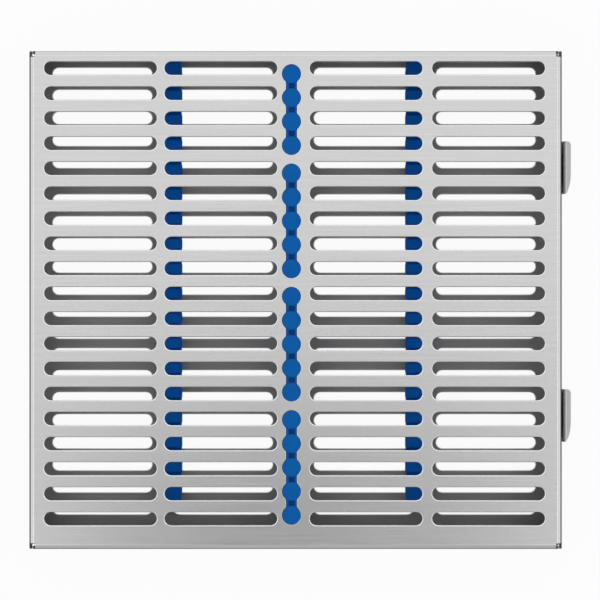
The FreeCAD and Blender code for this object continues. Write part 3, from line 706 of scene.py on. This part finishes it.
lid_hinge_edge = [(lid_high.y, LID_EDGE_Z, EDGE_ROUND, 1)]
for middle in HINGE_MIDDLES[::-1]:
    tab_back, tab_front = middle + LID_LOOP_HALF, middle - LID_LOOP_HALF
    window_back, window_front = middle + WINDOW_HALF, middle - WINDOW_HALF
    lid_hinge_edge += [(window_back, LID_EDGE_Z, EDGE_ROUND, 1), (window_back, WINDOW_Z, EDGE_ROUND, 1),
                       (tab_back, WINDOW_Z, EDGE_ROUND, 1), (tab_back, LID_EDGE_Z, 0, 0),
                       (tab_front, LID_EDGE_Z, 0, 0), (tab_front, WINDOW_Z, EDGE_ROUND, 1),
                       (window_front, WINDOW_Z, EDGE_ROUND, 1), (window_front, LID_EDGE_Z, EDGE_ROUND, 1)]
lid_hinge_edge.append((lid_low.y, LID_EDGE_Z, EDGE_ROUND, 1))
nose_windows = []
for y in LATCH_YS.values():
    sides = (y - NOSE_WINDOW_HALF, y + NOSE_WINDOW_HALF)
    nose_windows.append(box_outline(*sides, *NOSE_WINDOW_HEIGHTS, NOSE_WINDOW_ROUND))
stud_openings = [[(spot, way, FINE_RIM) for spot, way, weight in scalloped(ys)] for ys in stud_groups]

lid = Workpiece()
lid_walls = dict.fromkeys(("hinge", "latch", "front", "back"), LID_WALL)
folded_pan(lid, lid_low, lid_high, lid_high.z, -1, lid_walls, lid_slots + stud_openings,
           {"hinge": lid_hinge_edge}, {"latch": nose_windows}, (0, 0, 0, 1), LID_RIMS)
for middle in HINGE_MIDDLES:
    start = Vector((HINGE_X, middle - LID_LOOP_HALF, HINGE_Z))
    path = round_path(start, X, Z, ROLL, ROLL_START, LID_ROLL_END, ROLL_STEPS)
    ribbon(lid, path, Y * (2 * LID_LOOP_HALF), SHEET, tip=True)
# The lid's cut edges, round the walls, bends and corner reliefs, take the near-black painted shade.
lid.make("lid_sheet", "lid", ["lid_cover"], [lid_steel, painted_shade_edge_steel])

# %% [markdown]
# The tray is the same kind of pan, the other way up. Its floor has five rows of slots, a wide rib and
# fifteen rows more, as seen through the lid. Its own slots in the walls aren't in the photograph: such
# trays have them so that steam gets in from the sides. The inside lies in deep shade in the picture,
# and that shade is painted in: the inside's finish is duller and painted much darker than the outside,
# and the walls' cut edges are painted dark as well. Its walls step down beside the hinge, which leaves
# the lid's wall room to turn.

# %% Tray sheet
TRAY_COLUMNS = (-75.45, -28.35, 26.55, 74.25)
TRAY_BACK_ROWS, TRAY_FRONT_ROWS = 5, 15
TRAY_SLOT_LENGTH, TRAY_SLOT_WIDTH = 38.7, 4.7
TRAY_TO_BACK, TRAY_TO_FRONT, RIB_STEP = 6.25, 13.25, 15.1
WALL_SLOT_Z, WALL_SLOT_WIDTH = 11.0, 5.0
WALL_SLOTS, WALL_BRIDGE, WALL_END = 5, 7.0, 12.5
LATCH_SLOTS, LATCH_BRIDGE, LATCH_END = 3, 5.0, 14.3
RIM_Z, HINGE_RIM_Z = 30.0, 19.1
CORNER_STEP, STEP_ROUND = 3.2, 1.5
TRAY_RIMS = (0.2, 0.3)
END_STEPS = 8

tray_run = tray_high.y - tray_low.y - TRAY_TO_BACK - TRAY_TO_FRONT - RIB_STEP
tray_pitch = tray_run / (TRAY_BACK_ROWS + TRAY_FRONT_ROWS - 2)
tray_rows = [tray_high.y - TRAY_TO_BACK - i * tray_pitch for i in range(TRAY_BACK_ROWS)]
tray_rows += [tray_rows[-1] - RIB_STEP - i * tray_pitch for i in range(TRAY_FRONT_ROWS)]
tray_slots = [slot(x, y, TRAY_SLOT_LENGTH, TRAY_SLOT_WIDTH, END_STEPS)
              for x in TRAY_COLUMNS for y in tray_rows]
print("tray row pitch", round(tray_pitch, 3), "mm")


def shared_slots(low, high, count, bridge):
    """Slots of one length that share the run from low to high, with bridges between them."""
    length = (high - low - (count - 1) * bridge) / count
    middles = [low + length / 2 + i * (length + bridge) for i in range(count)]
    return [slot(middle, WALL_SLOT_Z, length, WALL_SLOT_WIDTH, END_STEPS) for middle in middles]


side_slots = shared_slots(tray_low.x + WALL_END, tray_high.x - WALL_END, WALL_SLOTS, WALL_BRIDGE)
hinge_slots = shared_slots(tray_low.y + WALL_END, tray_high.y - WALL_END, WALL_SLOTS, WALL_BRIDGE)
between_latches = (LATCH_YS["front"] + LATCH_END, LATCH_YS["back"] - LATCH_END)
latch_slots = shared_slots(*between_latches, LATCH_SLOTS, LATCH_BRIDGE)
tray_loops = [middle + start for middle in HINGE_MIDDLES for start in TRAY_LOOP_STARTS]
tray_hinge_edge = [(tray_high.y, HINGE_RIM_Z, EDGE_ROUND, 1)]
for start in tray_loops[::-1]:
    end = start + TRAY_LOOP_LENGTH
    tray_hinge_edge += [(end, HINGE_RIM_Z, EDGE_ROUND, 1), (end, HINGE_Z, 0, 0), (start, HINGE_Z, 0, 0),
                        (start, HINGE_RIM_Z, EDGE_ROUND, 1)]
tray_hinge_edge.append((tray_low.y, HINGE_RIM_Z, EDGE_ROUND, 1))
step_x = tray_low.x + CORNER_STEP
stepped_edge = [(tray_high.x - SEAM, RIM_Z, EDGE_ROUND, 1), (step_x, RIM_Z, STEP_ROUND, 1),
                (step_x, HINGE_RIM_Z, EDGE_ROUND, 1), (tray_low.x + SEAM, HINGE_RIM_Z, EDGE_ROUND, 1)]

tray = Workpiece()
tray_walls = {"hinge": HINGE_RIM_Z, "latch": RIM_Z, "front": RIM_Z, "back": RIM_Z}
tray_edges = {"hinge": tray_hinge_edge, "front": stepped_edge, "back": stepped_edge}
tray_wall_slots = {"hinge": hinge_slots, "latch": latch_slots, "front": side_slots, "back": side_slots}
folded_pan(tray, tray_low, tray_high, 0.0, 1, tray_walls, tray_slots, tray_edges, tray_wall_slots,
           (0, 0, 1, 2), TRAY_RIMS)
for start in tray_loops:
    path = round_path(Vector((HINGE_X, start, HINGE_Z)), X, Z, ROLL, ROLL_START, TRAY_ROLL_END, ROLL_STEPS)
    ribbon(tray, path, Y * TRAY_LOOP_LENGTH, SHEET, tip=True)
# The tray's cut edges take the dark painted shade.
tray.make("tray_sheet", "tray", ["base_tray"], [tray_steel, painted_shade_inside_steel, painted_shade_rim_steel])

# %% [markdown]
# Each silicone pad is pressed up into a scalloped opening from below. What shows are its round studs,
# which stand a little proud of the lid with a soft edge and a slight dome, and the lower necks between
# them, each with a small pocket. Under the lid a flange stops it, and a rounded rib reaches down to
# hold the instruments. The studs are turned forms, the rest are plates with generous rims.

# %% Hold-down pads
STUD_RADIUS, STUD_HEIGHT, STUD_DOME, STUD_SOFT, STUD_SIDES = 3.55, 1.3, 0.16, 0.4, 40
BRIDGE_HALF, BRIDGE_START, BRIDGE_HEIGHT, BRIDGE_THICK = 1.95, 2.4, 0.55, 0.6
POCKET_LEFT, POCKET_RIGHT, POCKET_HALF = 1.05, 1.2, 0.9
BRIDGE_ROUND, BRIDGE_RIMS = 0.3, (0.25, 0.05)
FLANGE_HALF, FLANGE_REACH, FLANGE_THICK, FLANGE_ROUND, FLANGE_RIMS = 5.5, 1.2, 1.6, 1.2, (0.2, 0.5)
RIB_HALF, RIB_TOP, RIB_TIP, RIB_ROOT_ROUND, RIB_TIP_ROUND, RIB_RIMS = 3, 1.5, 14.0, 0.8, 2.9, (0.75, 0.75)


def turned(work, profile, centre, axis, across, sides):
    """profile lists (along the axis, radius) from the tip outward."""
    third = axis.cross(across)
    rings = []
    for i, (along, radius) in enumerate(profile):
        ahead, behind = profile[min(i + 1, len(profile) - 1)], profile[max(i - 1, 0)]
        lean = Vector((ahead[1] - behind[1], behind[0] - ahead[0])).normalized()
        if radius == 0:
            rings.append([work.point(centre + axis * along, axis)] * sides)
            continue
        ring = []
        for j in range(sides):
            angle = 2 * math.pi * j / sides
            way = across * math.cos(angle) + third * math.sin(angle)
            spot = centre + axis * along + way * radius
            ring.append(work.point(spot, axis * lean.x + way * lean.y, lean.y))
        rings.append(ring)
    for inner, outer in zip(rings, rings[1:]):
        for j in range(sides):
            k = (j + 1) % sides
            work.face(tuple(dict.fromkeys((inner[j], inner[k], outer[k], outer[j]))))
    work.face([work.point(work.points[i], -axis) for i in rings[-1]])


def domed(radius, height, dome, soft):
    """The profile of a stud or rivet head, from the top of its dome over a soft edge down to its foot."""
    profile = []
    for i in range(7):
        out = (radius - soft) * i / 6
        profile.append((height - dome * (out / radius) ** 2, out))
    rim = profile[-1][0]
    for i in range(1, 6):
        angle = math.radians(18 * i)
        profile.append((rim - soft * (1 - math.cos(angle)), radius - soft + soft * math.sin(angle)))
    profile.append((0, radius))
    return profile


lid_under = lid_high.z - SHEET
for number, ys in enumerate(stud_groups, 1):
    pad = Workpiece()
    pockets = []
    front, back = ys[0] - BEAD_RADIUS, ys[-1] + BEAD_RADIUS
    stud = domed(STUD_RADIUS, STUD_HEIGHT, STUD_DOME, STUD_SOFT)
    for y in ys:
        turned(pad, stud, Vector((BEAD_X, y, lid_under)), Z, X, STUD_SIDES)
    for near, far in zip(ys, ys[1:]):
        neck = box_outline(BEAD_X - BRIDGE_HALF, BEAD_X + BRIDGE_HALF, near + BRIDGE_START,
                           far - BRIDGE_START, BRIDGE_ROUND)
        middle = (near + far) / 2
        pockets.append(box_outline(BEAD_X - POCKET_LEFT, BEAD_X + POCKET_RIGHT, middle - POCKET_HALF,
                                   middle + POCKET_HALF, BRIDGE_ROUND))
        plate(pad, neck, Z * (lid_under + BRIDGE_HEIGHT), X, Y, BRIDGE_THICK, BRIDGE_RIMS, pockets[-1:])
    flange = box_outline(BEAD_X - FLANGE_HALF, BEAD_X + FLANGE_HALF, front - FLANGE_REACH,
                         back + FLANGE_REACH, FLANGE_ROUND)
    plate(pad, flange, Z * lid_under, X, Y, FLANGE_THICK, FLANGE_RIMS, pockets)
    top, tip = lid_under - RIB_TOP, lid_under - RIB_TIP
    rib = [(BEAD_X - RIB_HALF, top, RIB_ROOT_ROUND, 1), (BEAD_X - RIB_HALF, tip, RIB_TIP_ROUND, 1),
           (BEAD_X + RIB_HALF, tip, RIB_TIP_ROUND, 1), (BEAD_X + RIB_HALF, top, RIB_ROOT_ROUND, 1)]
    plate(pad, rounded(rib, 8), Y * front, X, Z, back - front, RIB_RIMS)
    pad.make(f"pad_{number}", "lid", [f"hold_down_pad_{number}"], [stud_silicone])

# %% [markdown]
# The rails are combs. Seen from above, a tooth is widest at its middle and narrows towards the notches on
# both sides. So the comb is a skin over sections: its side view, with rounded crests and notch floors,
# gives the height of each section, and a wave gives its width. The narrow foot goes into a steel channel.

# %% Rails
NOTCHES, NOTCH_DEPTH = 17, 7.0
NOTCH_HALF, NOTCH_FLOOR_HALF = 2.8, 2.4
CREST_ROUND, NOTCH_ROUND, END_ROUND = 0.8, 1.0, 1.0
WAIST, TOOTH_ROUND = 0.55, 0.6
FOOT_TOP, FOOT_INSET, FOOT_LAP, FOOT_SHORTER = 6.1, 1.4, 0.4, 0.1
FOOT_ROUND, FOOT_RIMS = 0.15, (0.1, 0.1)
SKIN_RIM = 0.6


def skin(work, grid):
    """Cover rows of (spot, expected normal, rim), each row a closed section, and cap both ends."""
    count = len(grid[0])
    ids = []
    for i, row in enumerate(grid):
        ring = []
        for j, (spot, guess, edge) in enumerate(row):
            ahead, behind = grid[min(i + 1, len(grid) - 1)][j][0], grid[max(i - 1, 0)][j][0]
            facing = (ahead - behind).cross(row[(j + 1) % count][0] - row[j - 1][0])
            facing = guess if facing.length < 1e-6 else facing.normalized()
            if facing.dot(guess) < 0:
                facing = -facing
            ring.append(work.point(spot, (facing + guess).normalized(), edge * SKIN_RIM))
        ids.append(ring)
    for here, there in zip(ids, ids[1:]):
        for j in range(count):
            k = (j + 1) % count
            work.face((here[j], here[k], there[k], there[j]))
    for row, beside in ((grid[0], grid[1]), (grid[-1], grid[-2])):
        facing = row[0][0] - beside[0][0]
        work.face([work.point(spot, facing, CUT_EDGE) for spot, guess, edge in row])


def comb_section(y, top, way, low, high, bottom):
    """A closed section of the comb at y: up the left side, over the rounded top and down the right side."""
    wave = 0.5 + 0.5 * math.cos(2 * math.pi * (y - lid_rows[0]) / lid_pitch)
    half = (high - low) / 2 - WAIST * (1 - wave)
    middle = (low + high) / 2
    out = Y * way.x + Z * way.y
    row = [(Vector((middle - half, y, bottom)), -X, 0.0)]
    for sense in (-1, 1):
        for step in range(5):
            angle = math.pi / 8 * (step if sense < 0 else 4 - step)
            x = middle + sense * (half - TOOTH_ROUND + TOOTH_ROUND * math.cos(angle))
            spot = Vector((x, y, top - TOOTH_ROUND + TOOTH_ROUND * math.sin(angle)))
            row.append((spot, X * (sense * math.cos(angle)) + out * math.sin(angle), 0.0))
    row.append((Vector((middle + half, y, bottom)), X, 0.0))
    return row


notch_ys = [(back + front) / 2 for back, front in zip(lid_rows, lid_rows[1:])][:NOTCHES]
for side in ("left", "right"):
    node = "rail_" + side
    low, high = [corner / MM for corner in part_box(node)]
    crest, notch_z = high.z, high.z - NOTCH_DEPTH
    corners = [(low.y, FOOT_TOP, 0, 1), (high.y, FOOT_TOP, 0, 1), (high.y, crest, END_ROUND, 1)]
    for y in notch_ys:
        corners += [(y + NOTCH_HALF, crest, CREST_ROUND, 1), (y + NOTCH_FLOOR_HALF, notch_z, NOTCH_ROUND, 1),
                    (y - NOTCH_FLOOR_HALF, notch_z, NOTCH_ROUND, 1), (y - NOTCH_HALF, crest, CREST_ROUND, 1)]
    corners.append((low.y, crest, END_ROUND, 1))
    comb = Workpiece()
    skin(comb, [comb_section(spot.x, spot.y, way, low.x, high.x, FOOT_TOP)
                for spot, way, weight in rounded(corners)[2:]])
    foot = box_outline(low.y + FOOT_SHORTER, high.y - FOOT_SHORTER, low.z, FOOT_TOP + FOOT_LAP, FOOT_ROUND)
    plate(comb, foot, X * (high.x - FOOT_INSET), Y, Z, high.x - low.x - 2 * FOOT_INSET, FOOT_RIMS)
    comb.make("comb_" + side, "tray", [node], [rail_silicone])

# %% [markdown]
# A latch lever is one strip of sheet, rolled round its pin at the bottom, wider above its shoulders and
# bent outward at the top into the lip that shows in the photograph. It is a loft: a small rounded
# rectangle is carried along the strip, and its width follows the shoulders and the lip's corners. A
# wedge-shaped nose on its inner face snaps into the lid's window.

# %% Latch levers
LATCH_SHEET = 0.8
AXIS_X, AXIS_Z, LEVER_ROLL = 104.35, 9.0, 1.55
FACE_X, TIP_X, LIP_Z = 102.8, 106.0, 30.0
NARROW, WIDE = 7.6, 10.2
SHOULDER_Z, SHOULDER_LENGTH = 19.2, 1.6
LIP_BEND, TIP_ROUND, STRIP_ROUND = 1.9, 0.25, 0.22
LEVER_ROLL_ANGLES = (495, 180)
FRONT_CORNER, BACK_CORNER = (8.5, 2.7), (1.5, 1.5)
NOSE_HALF, NOSE_LENGTH, NOSE_RIMS = 4, 8.0, (0.2, 0.2)
# These corners run clockwise, unlike every other outline here, so the nose's side faces look inward.
NOSE = [(101.75, 25.7, 0.25, 1), (101.75, 26.5, 0.25, 1), (102.8, 28.1, 0.25, 1), (103.2, 28.1, 0.2, 1),
        (103.2, 25.7, 0.2, 1)]


def lip_half(left, reach, depth):
    """Half the lip's width at a distance from its tip, for a corner that is a quarter of an ellipse."""
    return WIDE - reach + reach * math.sqrt(1 - max(1 - left / depth, 0) ** 2)


def lip_station(place, way, left):
    """A station of the lip at the distance left from its tip, which is thinned to a round edge."""
    thin = 0
    if left < TIP_ROUND:
        thin = TIP_ROUND - math.sqrt(max(TIP_ROUND ** 2 - (TIP_ROUND - left) ** 2, 0))
    return (place, way, lip_half(left, *FRONT_CORNER), lip_half(left, *BACK_CORNER), thin)


def lever_stations():
    """Place and normal of the strip's face in x and z, the half-widths front and back, and how thin it is."""
    stations = []
    for place, way in round_path(Vector((AXIS_X, 0, AXIS_Z)), X, Z, LEVER_ROLL, *LEVER_ROLL_ANGLES, 24):
        stations.append((place, way, NARROW, NARROW, 0))
    for i in range(1, 25):
        z = AXIS_Z + (LIP_Z - LIP_BEND - AXIS_Z) * i / 24
        grow = min(max((z - SHOULDER_Z) / SHOULDER_LENGTH, 0), 1)
        half = NARROW + (WIDE - NARROW) * grow * grow * (3 - 2 * grow)
        stations.append((Vector((FACE_X, 0, z)), -X, half, half, 0))
    start = FACE_X + LIP_BEND
    for place, way in round_path(Vector((start, 0, LIP_Z - LIP_BEND)), -X, Z, LIP_BEND, 0, 90, 10)[1:]:
        stations.append(lip_station(place, way, TIP_X - place.x))
    for i in range(1, 17):
        x = start + (TIP_X - start) * math.sin(math.pi / 2 * i / 16)
        stations.append(lip_station(Vector((x, 0, LIP_Z)), Z, TIP_X - x))
    return stations


def loft(work, stations, middle_y, sheet):
    """Carry a small rounded rectangle along the stations. At the very tip its rounds cross each other."""
    grid = []
    for place, way, front, back, thin in stations:
        section = rounded([(-front, -sheet + thin, STRIP_ROUND, 1), (back, -sheet + thin, STRIP_ROUND, 1),
                           (back, -thin, STRIP_ROUND, 1), (-front, -thin, STRIP_ROUND, 1)], 3)
        grid.append([(place + Y * (middle_y + spot.x) + way * spot.y, Y * side.x + way * side.y, abs(side.x))
                     for spot, side, weight in section])
    skin(work, grid)


for end, y in LATCH_YS.items():
    lever = Workpiece()
    loft(lever, lever_stations(), y, LATCH_SHEET)
    plate(lever, rounded(NOSE), Y * (y - NOSE_HALF), X, Z, NOSE_LENGTH, NOSE_RIMS)
    lever.make("lever_" + end, "latch_" + end, ["latch_lever_" + end], [latch_steel])

# %% [markdown]
# Each lever turns between the ears of a small bracket, riveted to the tray's wall. Bracket and ears are
# plates with rounded corners, and the rivets are turned, with low domed heads on both sides.

# %% Brackets and rivets
BRACKET_HALF, BRACKET_HEIGHTS, BRACKET_ROUND, BRACKET_RIMS = 8.8, (3.5, 17.0), 1.4, (0.2, 0.05)
EAR_HALF, EAR_ROUND, EAR_ROOT_ROUND, EAR_RIMS = 1.55, 1.5, 0.3, (0.15, 0.15)
RIVET_SHIFT, RIVET_Z, RIVET_HEAD, RIVET_DOME, RIVET_SIDES = 4.6, 13.8, 2.2, 0.15, 32
OUTER_HEAD, OUTER_SOFT = 0.5, 0.25
INNER_HEAD, INNER_SOFT = 0.6, 0.3

wall_x = tray_high.x
for end, y in LATCH_YS.items():
    bracket = Workpiece()
    base = box_outline(y - BRACKET_HALF, y + BRACKET_HALF, *BRACKET_HEIGHTS, BRACKET_ROUND)
    plate(bracket, base, X * (wall_x + LATCH_SHEET), Y, Z, LATCH_SHEET, BRACKET_RIMS)
    low, high, ear_x = AXIS_Z - EAR_HALF, AXIS_Z + EAR_HALF, AXIS_X + EAR_HALF
    ear = rounded([(wall_x, low, EAR_ROOT_ROUND, 1), (ear_x, low, EAR_ROUND, 1),
                   (ear_x, high, EAR_ROUND, 1), (wall_x, high, EAR_ROOT_ROUND, 1)], 8)
    for start in (y - BRACKET_HALF, y + BRACKET_HALF - LATCH_SHEET):
        plate(bracket, ear, Y * start, X, Z, LATCH_SHEET, EAR_RIMS)
    bracket.make("bracket_" + end, "tray", ["latch_bracket_" + end], [latch_steel])
    rivets = Workpiece()
    for place in (y - RIVET_SHIFT, y + RIVET_SHIFT):
        for x, height, soft, axis in ((wall_x + LATCH_SHEET, OUTER_HEAD, OUTER_SOFT, X),
                                      (wall_x - SHEET, INNER_HEAD, INNER_SOFT, -X)):
            head = domed(RIVET_HEAD, height, RIVET_DOME, soft)
            turned(rivets, head, Vector((x, place, RIVET_Z)), axis, Y, RIVET_SIDES)
    rivets.make("rivets_" + end, "tray", ["latch_rivets_" + end], [wire_steel])

# %% [markdown]
# The channels under the rails and the wires in the hinges and latches already have their true shape in
# the frame, so they stay and only get their finish.

# %% Finish the frame's own pieces
def refinish(node, finish):
    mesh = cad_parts[node].data
    mesh.materials.clear()
    mesh.materials.append(finish)
    print("finished", node)


# The channels take the inside's finish, with its painted shade.
for side in ("left", "right"):
    refinish("rail_channel_" + side, painted_shade_inside_steel)
for end in ("front", "back"):
    refinish("hinge_pin_" + end, wire_steel)
    refinish("latch_pin_" + end, wire_steel)
